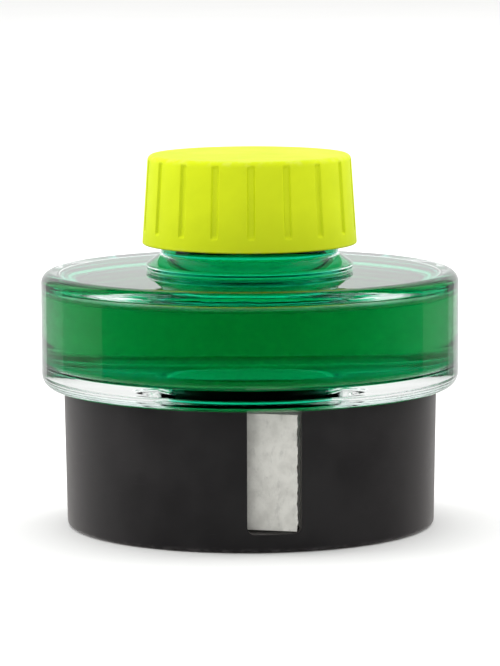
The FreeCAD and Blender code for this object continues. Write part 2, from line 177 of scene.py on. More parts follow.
# %% Wear along a round edge
edge_wear, given, wanted = new_group(
    SHADER, "edge wear",
    [("Edge Radius mm", FLOAT, 17.0), ("Edge Height mm", FLOAT, 62.0), ("Reach mm", FLOAT, 0.6)],
    [("Worn", FLOAT)])
xyz = node(edge_wear, "ShaderNodeSeparateXYZ",
           Vector=node(edge_wear, "ShaderNodeTexCoord").outputs["Object"]).outputs
flat = sum_of(edge_wear, "SQRT", sum_of(
    edge_wear, "ADD", sum_of(edge_wear, "MULTIPLY", xyz["X"], xyz["X"]),
    sum_of(edge_wear, "MULTIPLY", xyz["Y"], xyz["Y"])))
aside = sum_of(edge_wear, "SUBTRACT", sum_of(edge_wear, "MULTIPLY", flat, 1000.0),
               given["Edge Radius mm"])
above = sum_of(edge_wear, "SUBTRACT", sum_of(edge_wear, "MULTIPLY", xyz["Z"], 1000.0),
               given["Edge Height mm"])
away = sum_of(edge_wear, "SQRT", sum_of(
    edge_wear, "ADD", sum_of(edge_wear, "MULTIPLY", aside, aside),
    sum_of(edge_wear, "MULTIPLY", above, above)))
near = sum_of(edge_wear, "SUBTRACT", 1.0, ramp(edge_wear, away, 0.0, given["Reach mm"]))
broken = node(edge_wear, "ShaderNodeTexNoise", Scale=700.0, Detail=3.0,
              Vector=node(edge_wear, "ShaderNodeTexCoord").outputs["Object"])
plug(edge_wear, sum_of(edge_wear, "MULTIPLY", near,
                       ramp(edge_wear, broken.outputs[0], 0.42, 0.66)), wanted["Worn"])
print("group:", edge_wear.name)


# %% Dust on what faces up
dust, given, wanted = new_group(
    SHADER, "settled dust", [("Amount", FLOAT, 0.2)], [("Dusty", FLOAT)])
facing = node(dust, "ShaderNodeSeparateXYZ",
              Vector=node(dust, "ShaderNodeNewGeometry").outputs["Normal"]).outputs["Z"]
specks = node(dust, "ShaderNodeTexNoise", Scale=1500.0, Detail=5.0, Roughness=0.7,
              Vector=node(dust, "ShaderNodeTexCoord").outputs["Object"])
settled = sum_of(dust, "MULTIPLY", ramp(dust, facing, 0.5, 0.95),
                 ramp(dust, specks.outputs[0], 0.5, 0.72))
plug(dust, sum_of(dust, "MULTIPLY", settled, given["Amount"]), wanted["Dusty"])
print("group:", dust.name)


# %% [markdown]
# ## Finishes
# Each finish starts from the same three steps: a base colour that varies a little, a roughness
# that varies with it, and a bump from the grain. A helper mixes two colours by a mask, because
# wear, grime and dust are all laid over a colour in that way.

# %% Helpers for finishes
def new_finish(name):
    """A material, its node tree and its surface shader."""
    made = bpy.data.materials.new(name)
    made.use_nodes = True
    return made, made.node_tree, made.node_tree.nodes["Principled BSDF"]


def laid_over(tree, under, over, mask):
    """Colour `over` laid on colour `under` where the mask says."""
    made = node(tree, "ShaderNodeMix", {"data_type": "RGBA"})
    factor, first, second = (made.inputs[i] for i in (0, 6, 7))
    plug(tree, mask, factor)
    plug(tree, under, first)
    plug(tree, over, second)
    return made.outputs[2]


def use(tree, group, **inputs):
    """A shared effect placed in a finish. Returns its outputs."""
    made = tree.nodes.new("ShaderNodeGroup")
    made.node_tree = group
    for title, value in inputs.items():
        plug(tree, value, made.inputs[title.replace("_", " ")])
    return made.outputs


def bumped(tree, surface, height, depth_mm, strength=1.0):
    """Feed a height to the surface's normal, with its real depth in millimetres."""
    made = node(tree, "ShaderNodeBump", Height=height, Distance=depth_mm * MM, Strength=strength)
    plug(tree, made.outputs[0], surface.inputs["Normal"])


# %% [markdown]
# The cap is a satin, slightly waxy plastic in yellow-green. Its colour drifts a little with the
# flow of the melt, the top and rim edges polish paler with use, and a little dust lies on it. The
# shine is weak and broad, so the colour stays strong to the edges.

# %% Finish: moulded yellow-green cap plastic
cap_plastic, tree, surface = new_finish("yellow_green_cap_plastic")
skin = use(tree, grain, Grain_Size_mm=0.35, Patch_Size_mm=14.0)
colour = laid_over(tree, (0.62, 0.72, 0.0, 1), (0.56, 0.66, 0.0, 1),
                   ramp(tree, skin["Patches"], 0.35, 0.65))
top_edge = use(tree, edge_wear, Edge_Radius_mm=CAP_RADIUS - 1.2, Edge_Height_mm=CAP_TOP - 0.2,
               Reach_mm=1.0)
rim_edge = use(tree, edge_wear, Edge_Radius_mm=CAP_RADIUS, Edge_Height_mm=CAP_RIM, Reach_mm=0.7)
worn = sum_of(tree, "MAXIMUM", top_edge["Worn"], rim_edge["Worn"])
colour = laid_over(tree, colour, (0.66, 0.71, 0.10, 1), sum_of(tree, "MULTIPLY", worn, 0.5))
specks = use(tree, dust, Amount=0.10)["Dusty"]
plug(tree, laid_over(tree, colour, (0.6, 0.6, 0.5, 1), specks), surface.inputs["Base Color"])
plug(tree, ramp(tree, skin["Patches"], 0.2, 0.8, 0.50, 0.62), surface.inputs["Roughness"])
surface.inputs["IOR"].default_value = 1.49
surface.inputs["Specular IOR Level"].default_value = 0.25
bumped(tree, surface, skin["Height"], 0.012)
print("finish:", cap_plastic.name)


# %% [markdown]
# The base is black plastic from a mould with a fine spark-eroded texture, so it looks satin and
# catches light softly towards its sides. The rim and the foot have rubbed a little paler, long
# faint scuffs run round the wall, and dust lies on the floor inside.

# %% Finish: black satin base plastic
base_plastic, tree, surface = new_finish("black_satin_base_plastic")
skin = use(tree, grain, Grain_Size_mm=0.16, Patch_Size_mm=11.0)
scuffs = use(tree, grain, Grain_Size_mm=3.0, Patch_Size_mm=18.0, Stretch=14.0)
colour = laid_over(tree, (0.0155, 0.0140, 0.0150, 1), (0.022, 0.020, 0.021, 1),
                   ramp(tree, skin["Patches"], 0.35, 0.68))
rim_edge = use(tree, edge_wear, Edge_Radius_mm=BASE_RADIUS, Edge_Height_mm=BASE_TOP, Reach_mm=0.6)
foot_edge = use(tree, edge_wear, Edge_Radius_mm=BASE_RADIUS - 0.6, Edge_Height_mm=0.3,
                Reach_mm=0.7)
worn = sum_of(tree, "MAXIMUM", rim_edge["Worn"], foot_edge["Worn"])
colour = laid_over(tree, colour, (0.09, 0.085, 0.085, 1), sum_of(tree, "MULTIPLY", worn, 0.5))
colour = laid_over(tree, colour, (0.035, 0.033, 0.033, 1),
                   ramp(tree, scuffs["Height"], 0.66, 0.74, 0.0, 0.5))
specks = use(tree, dust, Amount=0.25)["Dusty"]
plug(tree, laid_over(tree, colour, (0.22, 0.21, 0.20, 1), specks), surface.inputs["Base Color"])
plug(tree, sum_of(tree, "ADD", ramp(tree, skin["Patches"], 0.2, 0.8, 0.40, 0.52),
                  ramp(tree, scuffs["Height"], 0.6, 0.75, 0.0, -0.08)),
     surface.inputs["Roughness"])
surface.inputs["IOR"].default_value = 1.55
surface.inputs["Sheen Weight"].default_value = 0.22
surface.inputs["Sheen Roughness"].default_value = 0.4
surface.inputs["Sheen Tint"].default_value = (1.0, 0.93, 0.88, 1)
bumped(tree, surface, skin["Height"], 0.010)
print("finish:", base_plastic.name)


# %% [markdown]
# Blotting paper is soft, unsized and slightly fluffy. Its fibres show as a mottled warm white
# with tiny shadows between them, so the bump is deep for its size and the surface has no shine.
# A faint velvet sheen stands for the loose fibres that stick out.

# %% Finish: blotting paper
blotting_paper, tree, surface = new_finish("white_blotting_paper")
fibre = use(tree, grain, Grain_Size_mm=0.30, Patch_Size_mm=2.2)
clumps = use(tree, grain, Grain_Size_mm=1.1, Patch_Size_mm=7.0, Stretch=0.5)
colour = laid_over(tree, (0.60, 0.595, 0.555, 1), (0.50, 0.495, 0.46, 1),
                   ramp(tree, fibre["Patches"], 0.35, 0.70))
colour = laid_over(tree, colour, (0.40, 0.395, 0.37, 1),
                   ramp(tree, clumps["Height"], 0.52, 0.75, 0.0, 0.7))
plug(tree, colour, surface.inputs["Base Color"])
plug(tree, ramp(tree, fibre["Height"], 0.3, 0.7, 0.85, 1.0), surface.inputs["Roughness"])
surface.inputs["Specular IOR Level"].default_value = 0.2
surface.inputs["Sheen Weight"].default_value = 0.15
bumped(tree, surface, sum_of(tree, "ADD", fibre["Height"], clumps["Height"]), 0.06)
print("finish:", blotting_paper.name)


# %% [markdown]
# The sealing disc in the cap is white foamed plastic. Its closed cells show as tiny dimples.

# %% Finish: liner foam
liner_foam, tree, surface = new_finish("white_liner_foam")
skin = use(tree, grain, Grain_Size_mm=0.5, Patch_Size_mm=5.0)
cells = node(tree, "ShaderNodeTexVoronoi", Scale=2200.0,
             Vector=node(tree, "ShaderNodeTexCoord").outputs["Object"])
plug(tree, laid_over(tree, (0.78, 0.78, 0.76, 1), (0.66, 0.66, 0.63, 1),
                     ramp(tree, skin["Patches"], 0.35, 0.7)), surface.inputs["Base Color"])
plug(tree, ramp(tree, skin["Height"], 0.2, 0.8, 0.55, 0.75), surface.inputs["Roughness"])
bumped(tree, surface, cells.outputs["Distance"], 0.05)
print("finish:", liner_foam.name)


# %% [markdown]
# The bottle is clear pressed glass. The press leaves a very faint waviness, and hands leave
# smears that dull the shine a little in patches. Everything else comes from the shape: thick
# walls bend the light, and the heel stays clear because it is solid glass below the ink.

# %% Finish: clear pressed glass
def wetted(tree):
    """1 on the inside of the bottle as high as the ink stands, and 0 elsewhere."""
    xyz = node(tree, "ShaderNodeSeparateXYZ",
               Vector=node(tree, "ShaderNodeTexCoord").outputs["Object"]).outputs
    away = sum_of(tree, "SQRT", sum_of(tree, "ADD", *(
        sum_of(tree, "MULTIPLY", xyz[axis], xyz[axis]) for axis in "XY")))
    parts = []
    disc, well, throat = (32.5, 24.6, 41.2), (10.9, 11.2, 26.5), (13.7, 40.0, INK_LEVEL)
    for radius, foot, top in (disc, well, throat):
        parts.append(sum_of(tree, "MULTIPLY", sum_of(tree, "LESS_THAN", away, radius * MM), sum_of(
            tree, "COMPARE", xyz["Z"], (foot + top) / 2 * MM, (top - foot) / 2 * MM)))
    return sum_of(tree, "MAXIMUM", sum_of(tree, "MAXIMUM", *parts[:2]), parts[2])


clear_glass, tree, surface = new_finish("clear_pressed_glass")
smears = use(tree, grain, Grain_Size_mm=9.0, Patch_Size_mm=16.0)
plug(tree, laid_over(tree, (1, 1, 1, 1), (0.03, 0.03, 0.03, 1), wetted(tree)),
     surface.inputs["Specular Tint"])
surface.inputs["Base Color"].default_value = (0.97, 0.985, 0.975, 1)
surface.inputs["Transmission Weight"].default_value = 1.0
surface.inputs["IOR"].default_value = 1.5
plug(tree, ramp(tree, smears["Patches"], 0.45, 0.8, 0.0, 0.05), surface.inputs["Roughness"])
bumped(tree, surface, smears["Height"], 0.02)
print("finish:", clear_glass.name)


# %% [markdown]
# Fountain pen ink is dye in water, so it has no body of its own: it swallows red almost at once,
# blue more slowly and green last. That is why a thin layer looks bright green and the middle of
# the bottle nearly black-green. Absorption inside the liquid gives that by itself, and it is set
# as one colour and one density. The liquid's own skin is smooth, with the slightest tremble.

# %% Finish: green writing ink
green_ink, tree, surface = new_finish("green_writing_ink")
tremble = use(tree, grain, Grain_Size_mm=6.0, Patch_Size_mm=12.0)
surface.inputs["Base Color"].default_value = (1.0, 1.0, 1.0, 1)
surface.inputs["Transmission Weight"].default_value = 1.0
surface.inputs["IOR"].default_value = 1.34
surface.inputs["Specular Tint"].default_value = (0.03, 0.03, 0.03, 1)
plug(tree, ramp(tree, tremble["Patches"], 0.5, 0.8, 0.0, 0.02), surface.inputs["Roughness"])
dye = node(tree, "ShaderNodeVolumeAbsorption", Color=(0.0, 0.88, 0.76, 1), Density=285.0)
plug(tree, dye.outputs[0], tree.nodes["Material Output"].inputs["Volume"])
print("finish:", green_ink.name)


# %% [markdown]
# ## Turning a drawn line into a solid
# A potter's or a glassmaker's drawing of a round piece is half of its section. The helper takes
# the corners of that section, each with the radius of its round, and returns a fine line: arcs in
# the corners, and an extra point just beside each arc, which keeps the shading of the straight
# parts flat. The line starts and ends on the axis, and goes up the outside, so that the spun
# mesh is closed and faces outwards.

# %% Rounded section lines
def section(corners, steps=8, beside=0.15):
    """Corners (radius, height, round) in millimetres as one line with rounded corners."""
    points = [Vector(corner[:2]) for corner in corners]
    arcs, reach = [], [0.0]
    for before, here, after, corner in zip(points, points[1:], points[2:], corners[1:]):
        back, ahead = (before - here).normalized(), (after - here).normalized()
        half = back.angle(ahead) / 2
        size = corner[2] if len(corner) == 3 else 0.12
        centre = here + (back + ahead).normalized() * size / math.sin(half)
        reach.append(size / math.tan(half))
        start = here + back * reach[-1] - centre
        end = here + ahead * reach[-1] - centre
        sweep = math.atan2(start.x * end.y - start.y * end.x, start.dot(end))
        arcs.append([centre + Matrix.Rotation(sweep * i / steps, 2) @ start
                     for i in range(steps + 1)])
    reach.append(0.0)
    line = [points[0]]
    for i, arc in enumerate(arcs):
        before = (points[i + 1] - points[i]).length - reach[i] - reach[i + 1]
        after = (points[i + 2] - points[i + 1]).length - reach[i + 1] - reach[i + 2]
        back = (points[i] - points[i + 1]).normalized()
        ahead = (points[i + 2] - points[i + 1]).normalized()
        line += [arc[0] + back * min(beside, before / 3), *arc,
                 arc[-1] + ahead * min(beside, after / 3)]
    return [tuple(point) for point in (*line, points[-1])]


def close_rows(line, start, end, gap):
    """Extra points along the upright run that spans the heights start..end."""
    rows = []
    for here, after in zip(line, line[1:]):
        rows.append(here)
        low, high = sorted((here[1], after[1]))
        if low <= start and high >= end:
            count = max(1, round((high - low) / gap))
            rows += [tuple(Vector(here).lerp(Vector(after), i / count)) for i in range(1, count)]
    return rows + [line[-1]]


def spun(line, around):
    """The line spun round the axis. `around` gives the angles of the upright lines at a radius."""
    mesh, rings = bmesh.new(), []
    for radius, height in line:
        angles = around(radius) if radius > 1e-6 else [0.0]
        rings.append([mesh.verts.new((radius * MM * math.cos(a), radius * MM * math.sin(a),
                                      height * MM)) for a in angles])
    for low, high in zip(rings, rings[1:]):
        for k in range(max(len(low), len(high))):
            mesh.faces.new(dict.fromkeys((
                low[k % len(low)], low[(k + 1) % len(low)],
                high[(k + 1) % len(high)], high[k % len(high)])))
    return mesh, rings


def evenly(count):
    """Angles for a plain round piece."""
    return lambda radius: [2 * math.pi * k / count for k in range(count)]


def piece_from(name, mesh, finish, sharp=None):
    """A smooth-shaded object from a mesh, with its volume printed as a check that it is closed."""
    data = bpy.data.meshes.new(name)
    print(f"{name}: {len(mesh.faces)} faces, {mesh.calc_volume(signed=True) / MM**3 / 1000:.2f} ml,"
          f" open edges {sum(not edge.is_manifold for edge in mesh.edges)}")
    mesh.to_mesh(data)
    mesh.free()
    data.polygons.foreach_set("use_smooth", [True] * len(data.polygons))
    if sharp:
        data.set_sharp_from_angle(angle=math.radians(sharp))
    data.materials.append(finish)
    made = bpy.data.objects.new(name, data)
    bpy.context.scene.collection.objects.link(made)
    return made


# %% [markdown]
# ## Rules that shape a piece: Geometry Nodes
# A screw thread, a ring of grip grooves and a wound roll all follow a rule, so each is a Geometry
# Nodes tree with named sizes. The result is then turned into a plain mesh and the modifier is
# dropped, because a finished piece should carry nothing that could still change.

# %% Run a rule and keep the result
def follow(piece, rule, **sizes):
    """Apply a shaping rule to a piece with these named sizes, as a plain mesh."""
    modifier = piece.modifiers.new(rule.name, "NODES")
    modifier.node_group = rule
    names = {item.name: item.identifier for item in rule.interface.items_tree
             if item.in_out == "INPUT"}
    for title, value in sizes.items():
        modifier[names[title.replace("_", " ")]] = value
    graph = bpy.context.evaluated_depsgraph_get()
    plain = bpy.data.meshes.new_from_object(piece.evaluated_get(graph))
    piece.modifiers.clear()
    old, piece.data = piece.data, plain
    bpy.data.meshes.remove(old)
    plain.name = piece.name
    print(f"{piece.name}: {rule.name} gives {len(plain.polygons)} faces")
    return piece


def start_rule(name, inputs):
    """A shaping rule with a mesh going in and out, and its sockets."""
    return new_group(
        GEOMETRY, name, [("Geometry", "NodeSocketGeometry", None), *inputs,
                         ("Finish", "NodeSocketMaterial", None)],
        [("Geometry", "NodeSocketGeometry")])


def end_rule(tree, given, wanted, shape):
    """Close a rule: real geometry only, in the piece's own finish."""
    real = node(tree, "GeometryNodeRealizeInstances", Geometry=shape)
    coated = node(tree, "GeometryNodeSetMaterial", Geometry=real.outputs[0],
                  Material=given["Finish"])
    plug(tree, coated.outputs[0], wanted["Geometry"])
    print("rule:", tree.name)


def round_place(tree):
    """Where a point is: x, y, z, distance from the axis, and angle round it."""
    xyz = node(tree, "ShaderNodeSeparateXYZ",
               Vector=node(tree, "GeometryNodeInputPosition").outputs[0]).outputs
    square = [sum_of(tree, "MULTIPLY", xyz[axis], xyz[axis]) for axis in "XY"]
    return (xyz["X"], xyz["Y"], xyz["Z"], sum_of(tree, "SQRT", sum_of(tree, "ADD", *square)),
            sum_of(tree, "ARCTAN2", xyz["Y"], xyz["X"]))


def pushed_out(tree, shape, x, y, distance, amount):
    """Move points straight away from the axis by an amount."""
    share = sum_of(tree, "DIVIDE", amount, distance)
    shift = node(tree, "ShaderNodeCombineXYZ", X=sum_of(tree, "MULTIPLY", x, share),
                 Y=sum_of(tree, "MULTIPLY", y, share))
    return node(tree, "GeometryNodeSetPosition", Geometry=shape,
                Offset=shift.outputs[0]).outputs[0]


# %% [markdown]
# A jar thread is a low bead that climbs as it goes round. For a point on the wall, the rule asks
# which turn of the bead passes nearest in height, how far above or below it the point lies, and
# lifts the point by the bead's section there. The bead fades in and out over its first and last
# stretch, as a real one does. A negative height sinks the wall inwards, which gives the cap's
# inside thread, so one rule makes both.

# %% Rule: a screw thread on a round wall
thread_rule, given, wanted = start_rule("screw thread", [
    ("Wall Radius", FLOAT, 0.015), ("Bead Height", FLOAT, 0.001), ("Root Width", FLOAT, 0.002),
    ("Crest Width", FLOAT, 0.001), ("Lead", FLOAT, 0.004), ("Turns", FLOAT, 1.0),
    ("Start Height", FLOAT, 0.0), ("Start Angle", FLOAT, 0.0), ("Fade Angle", FLOAT, 0.5)])
x, y, z, distance, angle = round_place(thread_rule)
whole = 2 * math.pi
round_so_far = sum_of(thread_rule, "FLOORED_MODULO",
                      sum_of(thread_rule, "SUBTRACT", angle, given["Start Angle"]), whole)
climbed = sum_of(thread_rule, "DIVIDE", sum_of(
    thread_rule, "SUBTRACT", z, given["Start Height"]), given["Lead"])
turn = sum_of(thread_rule, "ROUND", sum_of(
    thread_rule, "SUBTRACT", climbed, sum_of(thread_rule, "DIVIDE", round_so_far, whole)))
turn = sum_of(thread_rule, "MAXIMUM", turn, 0.0)
last = sum_of(thread_rule, "FLOOR", sum_of(thread_rule, "SUBTRACT", given["Turns"], sum_of(
    thread_rule, "DIVIDE", round_so_far, whole)))
turn = sum_of(thread_rule, "MINIMUM", turn, last)
along = sum_of(thread_rule, "ADD", round_so_far, sum_of(thread_rule, "MULTIPLY", turn, whole))
off = sum_of(thread_rule, "ABSOLUTE", sum_of(thread_rule, "MULTIPLY", given["Lead"], sum_of(
    thread_rule, "SUBTRACT", climbed, sum_of(thread_rule, "DIVIDE", along, whole))))
bead = ramp(thread_rule, off, sum_of(thread_rule, "DIVIDE", given["Root Width"], 2.0),
            sum_of(thread_rule, "DIVIDE", given["Crest Width"], 2.0), kind="LINEAR")
fade_in = ramp(thread_rule, along, 0.0, given["Fade Angle"])
fade_out = ramp(thread_rule, sum_of(thread_rule, "SUBTRACT", sum_of(
    thread_rule, "MULTIPLY", given["Turns"], whole), along), 0.0, given["Fade Angle"])
on_wall = sum_of(thread_rule, "COMPARE", distance, given["Wall Radius"], 0.06 * MM)
lift = sum_of(thread_rule, "MULTIPLY", given["Bead Height"], bead)
for share in (fade_in, fade_out, on_wall):
    lift = sum_of(thread_rule, "MULTIPLY", lift, share)
end_rule(thread_rule, given, wanted,
         pushed_out(thread_rule, given["Geometry"], x, y, distance, lift))


# %% [markdown]
# The grip grooves repeat evenly round the cap. The rule folds every point's angle into one
# groove's share of the circle, measures how far it is from that groove's middle, and sinks it if
# it is inside the groove. The sides slope a little, as a moulded groove's must to leave the mould.

# %% Rule: a ring of upright grooves
groove_rule, given, wanted = start_rule("ring of grooves", [
    ("Count", FLOAT, 18.0), ("First Angle", FLOAT, 0.0), ("Width", FLOAT, 0.001),
    ("Depth", FLOAT, 0.0003), ("Slope", FLOAT, 0.0001), ("Foot Height", FLOAT, 0.0),
    ("Top Height", FLOAT, 0.1), ("Least Radius", FLOAT, 0.01)])
x, y, z, distance, angle = round_place(groove_rule)
half_share = sum_of(groove_rule, "DIVIDE", math.pi, given["Count"])
folded = sum_of(groove_rule, "WRAP", sum_of(groove_rule, "SUBTRACT", angle, given["First Angle"]),
                half_share, sum_of(groove_rule, "MULTIPLY", half_share, -1.0))
aside = sum_of(groove_rule, "ABSOLUTE", sum_of(groove_rule, "MULTIPLY", folded, distance))
half_width = sum_of(groove_rule, "DIVIDE", given["Width"], 2.0)
inside = ramp(groove_rule, aside, sum_of(groove_rule, "ADD", half_width, given["Slope"]),
              sum_of(groove_rule, "SUBTRACT", half_width, given["Slope"]))
above_foot = ramp(groove_rule, z, given["Foot Height"],
                  sum_of(groove_rule, "ADD", given["Foot Height"], 0.3 * MM))
below_top = ramp(groove_rule, z, given["Top Height"],
                 sum_of(groove_rule, "SUBTRACT", given["Top Height"], 0.3 * MM))
outside = sum_of(groove_rule, "GREATER_THAN", distance, given["Least Radius"])
sink = sum_of(groove_rule, "MULTIPLY", given["Depth"], -1.0)
for share in (inside, above_foot, below_top, outside):
    sink = sum_of(groove_rule, "MULTIPLY", sink, share)
end_rule(groove_rule, given, wanted,
         pushed_out(groove_rule, given["Geometry"], x, y, distance, sink))


# %% [markdown]
# ## The base
# The base is one moulding: a skirt, a floor with a hollow foot under it, a tube in the middle
# that the roll goes on, and a low ledge that keeps the paper off the floor. It is spun like the
# other round pieces, but its upright lines run straight past the window, so that the window's
# sides can be cut along them and come out parallel. The faces in the window are then taken away
# and the cut is closed with two jambs and a sill.

# %% Spin the base
WINDOW_HALF = 4.45
FLOOR_TOP, LEAN = 3.1, 0.4
RING_RADIUS, RING_BORE = 14.26, 12.86
WINDOW_LINES = [0.0, 1.5, 3.0, WINDOW_HALF, 4.85, 5.6, 6.6]
WINDOW_LINES = [-x for x in WINDOW_LINES[:0:-1]] + WINDOW_LINES


def base_lines(radius):
    """Angles of the base's upright lines: parallel past the window, then evenly spread."""
    past = [math.asin(x / radius) - math.pi / 2 for x in WINDOW_LINES]
    rest = 236
    step = (2 * math.pi - past[-1] + past[0]) / rest
    return past + [past[-1] + step * k for k in range(1, rest)]


def leaning(foot_radius, heights):
    """A wall that opens a little in radius over the base's height."""
    return [(foot_radius + LEAN * h / BASE_TOP, h) for h in heights]


foot_round = [(BASE_RADIUS - 1.2 + 0.8 * math.sin(a), 0.8 - 0.8 * math.cos(a))
              for a in (math.radians(11.25 * i) for i in range(9))]
wall_rows = [FLOOR_TOP, 6.0, 10.0, 14.0, 18.0, 21.5, BASE_TOP - 0.5, BASE_TOP]
outer_wall = leaning(BASE_RADIUS - LEAN, [1.2, 2.6] + wall_rows)
inner_wall = leaning(BASE_RADIUS - 1.95, wall_rows[::-1])
base_section = [
    (0, 1.6), (20.0, 1.6), (28.1, 1.6), (28.5, 1.6), (28.5, 1.2), (28.5, 0.4), (28.5, 0.0),
    (28.9, 0.0), *foot_round, *outer_wall, *inner_wall,
    (29.0, FLOOR_TOP), (22.0, FLOOR_TOP), (16.66, FLOOR_TOP), (16.26, FLOOR_TOP), (16.26, 3.6),
    (15.8, 3.6), (14.7, 3.6), (RING_RADIUS, 3.6), (RING_RADIUS, 4.0), (RING_RADIUS, 13.0),
    (RING_RADIUS, 22.0), (RING_RADIUS, 22.4), (RING_BORE, 22.4), (RING_BORE, 22.0),
    (RING_BORE, 13.0), (RING_BORE, 3.5), (RING_BORE, FLOOR_TOP), (0, FLOOR_TOP)]
base_mesh, rings = spun(base_section, base_lines)
print("base section points:", len(base_section))


# %% Cut the window and soften every edge
def edge_between(mesh, one, other):
    return next(edge for edge in one.link_edges if edge.other_vert(one) is other)


def in_fixed_order(mesh):
    """The same mesh with its points and faces sorted, because a bevel adds them in any order."""
    points = sorted(mesh.verts, key=lambda point: point.co[:])
    place = {point: i for i, point in enumerate(points)}
    loops = [[place[point] for point in face.verts] for face in mesh.faces]
    ordered = bmesh.new()
    made = [ordered.verts.new(point.co) for point in points]
    for loop in sorted(loops, key=sorted):
        ordered.faces.new([made[i] for i in loop])
    mesh.free()
    return ordered


sill_out = base_section.index(outer_wall[2])
sill_in = base_section.index(inner_wall[-1])
left, right = WINDOW_LINES.index(-WINDOW_HALF), WINDOW_LINES.index(WINDOW_HALF)
in_window = {ring[k] for ring in rings[sill_out:sill_in + 1] for k in range(left, right + 1)}
bmesh.ops.delete(base_mesh, geom=[face for face in base_mesh.faces
                                  if set(face.verts) <= in_window], context="FACES_ONLY")
inner_only = {ring[k] for ring in rings[sill_out + 1:sill_in] for k in range(left + 1, right)}
bmesh.ops.delete(base_mesh, geom=list(inner_only), context="VERTS")
for k in range(left, right):
    base_mesh.faces.new((rings[sill_out][k], rings[sill_out][k + 1],
                         rings[sill_in][k + 1], rings[sill_in][k]))
for k in (left, right):
    base_mesh.faces.new([ring[k] for ring in rings[sill_out:sill_in + 1]])
corners = [edge_between(base_mesh, rings[sill_out][k], rings[sill_in][k]) for k in (left, right)]
bmesh.ops.recalc_face_normals(base_mesh, faces=base_mesh.faces)
bmesh.ops.bevel(base_mesh, geom=corners, offset=1.2 * MM, offset_type="OFFSET", segments=6,
                profile=0.5, affect="EDGES")
crisp = [edge for edge in base_mesh.edges
         if len(edge.link_faces) == 2 and edge.calc_face_angle() > math.radians(50)]
bmesh.ops.bevel(base_mesh, geom=crisp, offset=0.22 * MM, offset_type="OFFSET", segments=3,
                profile=0.5, affect="EDGES", clamp_overlap=True)
base = piece_from("base_moulding", in_fixed_order(base_mesh), base_plastic, sharp=40)


# %% [markdown]
# ## The roll of blotting paper
# A roll is one long strip wound on itself. The rule draws the spiral that the strip's middle
# follows, sweeps the strip's thin upright section along it, and lets each turn stand a hair
# higher or lower than the next, as wound paper does. The strip's end is turned to where it leaves
# the roll for the window.

# %% Rule: a strip wound into a roll
winding_rule, given, wanted = start_rule("wound strip", [
    ("Bore Radius", FLOAT, 0.01), ("Outer Radius", FLOAT, 0.02), ("Thickness", FLOAT, 0.0004),
    ("Turns", FLOAT, 30.0), ("Strip Width", FLOAT, 0.02), ("Foot Height", FLOAT, 0.0),
    ("End Angle", FLOAT, 0.0), ("Unevenness", FLOAT, 0.0001)])
half_strip = sum_of(winding_rule, "DIVIDE", given["Thickness"], 2.0)
spiral = node(winding_rule, "GeometryNodeCurveSpiral", Resolution=96,
              Rotations=given["Turns"], Height=0.0,
              Start_Radius=sum_of(winding_rule, "ADD", given["Bore Radius"], half_strip),
              End_Radius=sum_of(winding_rule, "SUBTRACT", given["Outer Radius"], half_strip))
upright = node(winding_rule, "GeometryNodeSetCurveNormal", {"mode": "Z_UP"},
               Curve=spiral.outputs[0])
strip = node(winding_rule, "GeometryNodeCurvePrimitiveQuadrilateral", {"mode": "RECTANGLE"},
             Width=given["Thickness"], Height=given["Strip Width"])
wound = node(winding_rule, "GeometryNodeCurveToMesh", Curve=upright.outputs[0],
             Profile_Curve=strip.outputs[0], Fill_Caps=True)
turned_to = sum_of(winding_rule, "SUBTRACT", given["End Angle"],
                   sum_of(winding_rule, "MULTIPLY", given["Turns"], whole))
lift = sum_of(winding_rule, "ADD", given["Foot Height"],
              sum_of(winding_rule, "DIVIDE", given["Strip Width"], 2.0))
placed = node(winding_rule, "GeometryNodeTransform", Geometry=wound.outputs[0],
              Translation=node(winding_rule, "ShaderNodeCombineXYZ", Z=lift).outputs[0],
              Rotation=node(winding_rule, "ShaderNodeCombineXYZ", Z=turned_to).outputs[0])
distance = round_place(winding_rule)[3]
wander = node(winding_rule, "ShaderNodeTexNoise", {"noise_dimensions": "1D"},
              W=sum_of(winding_rule, "DIVIDE", distance, given["Thickness"]),
              Scale=0.9, Detail=1.0)
offset = sum_of(winding_rule, "MULTIPLY", given["Unevenness"],
                ramp(winding_rule, wander.outputs[0], 0.3, 0.7, -1.0, 1.0, "LINEAR"))
uneven = node(winding_rule, "GeometryNodeSetPosition", Geometry=placed.outputs[0],
              Offset=node(winding_rule, "ShaderNodeCombineXYZ", Z=offset).outputs[0])
end_rule(winding_rule, given, wanted, uneven.outputs[0])


# %% Wind the roll
STRIP_THICKNESS, ROLL_BORE = 0.4, 14.66
STRIP_TURNED = math.radians(-20.5)
LEAVES_AT = math.radians(-90) + STRIP_TURNED
turns = (ROLL_RADIUS - ROLL_BORE - STRIP_THICKNESS) / STRIP_THICKNESS
roll = follow(piece_from("wound_roll", bmesh.new(), blotting_paper), winding_rule,
              Bore_Radius=ROLL_BORE * MM, Outer_Radius=ROLL_RADIUS * MM,
              Thickness=(STRIP_THICKNESS - 0.03) * MM, Turns=turns,
              Strip_Width=(PAPER_TOP - PAPER_FOOT) * MM, Foot_Height=PAPER_FOOT * MM,
              End_Angle=LEAVES_AT, Unevenness=0.08 * MM, Finish=blotting_paper)
roll.data.set_sharp_from_angle(angle=math.radians(40))
print(f"{turns:.1f} turns, about {turns * math.pi * (ROLL_RADIUS + ROLL_BORE) / 1000:.1f} m of paper")


# %% [markdown]
# ## The strip's free end
# The end of the strip leaves the roll in a straight line and crosses the window. It is thin, curls
# off a little towards its free end, and is torn rather than cut there, so its last edge wanders.

# %% Build the free end of the strip
TAIL_START, TAIL_END, CURL_START = -8.11, 14.50, 8.0
STRIP_DISTANCE = 27.65


def wave(*turns_and_sizes):
    return sum(size * math.sin(turn) for turn, size in turns_and_sizes)


